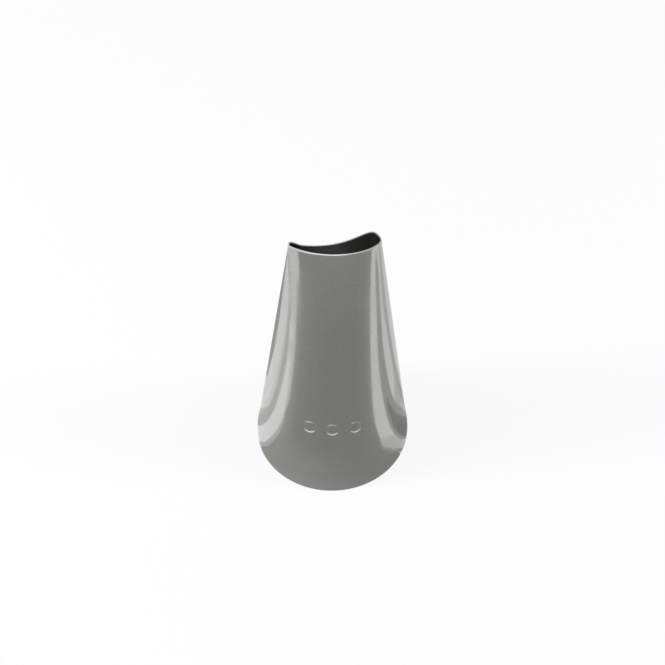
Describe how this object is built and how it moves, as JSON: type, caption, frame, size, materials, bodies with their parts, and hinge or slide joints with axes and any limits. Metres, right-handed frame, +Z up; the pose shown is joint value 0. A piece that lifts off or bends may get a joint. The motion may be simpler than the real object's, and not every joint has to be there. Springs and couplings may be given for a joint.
{
  "type": "piping nozzle",
  "caption": "Curved petal piping nozzle: a thin steel cone, round at the base and pressed flat to a bowed, teardrop-shaped mouth.",
  "frame": {"origin": "centre of the round base, on the plane of its rim", "axes": "+Z up the cone's axis to the mouth, +X to the wide end of the mouth, -Y to the side that the mouth bows out to"},
  "size_m": [0.0254, 0.0254, 0.0457],
  "materials": {
    "steel": "satin, pressed and tumbled sheet steel"
  },
  "bodies": {
    "root": {"nozzle_shell": "steel"}
  },
  "joints": []
}
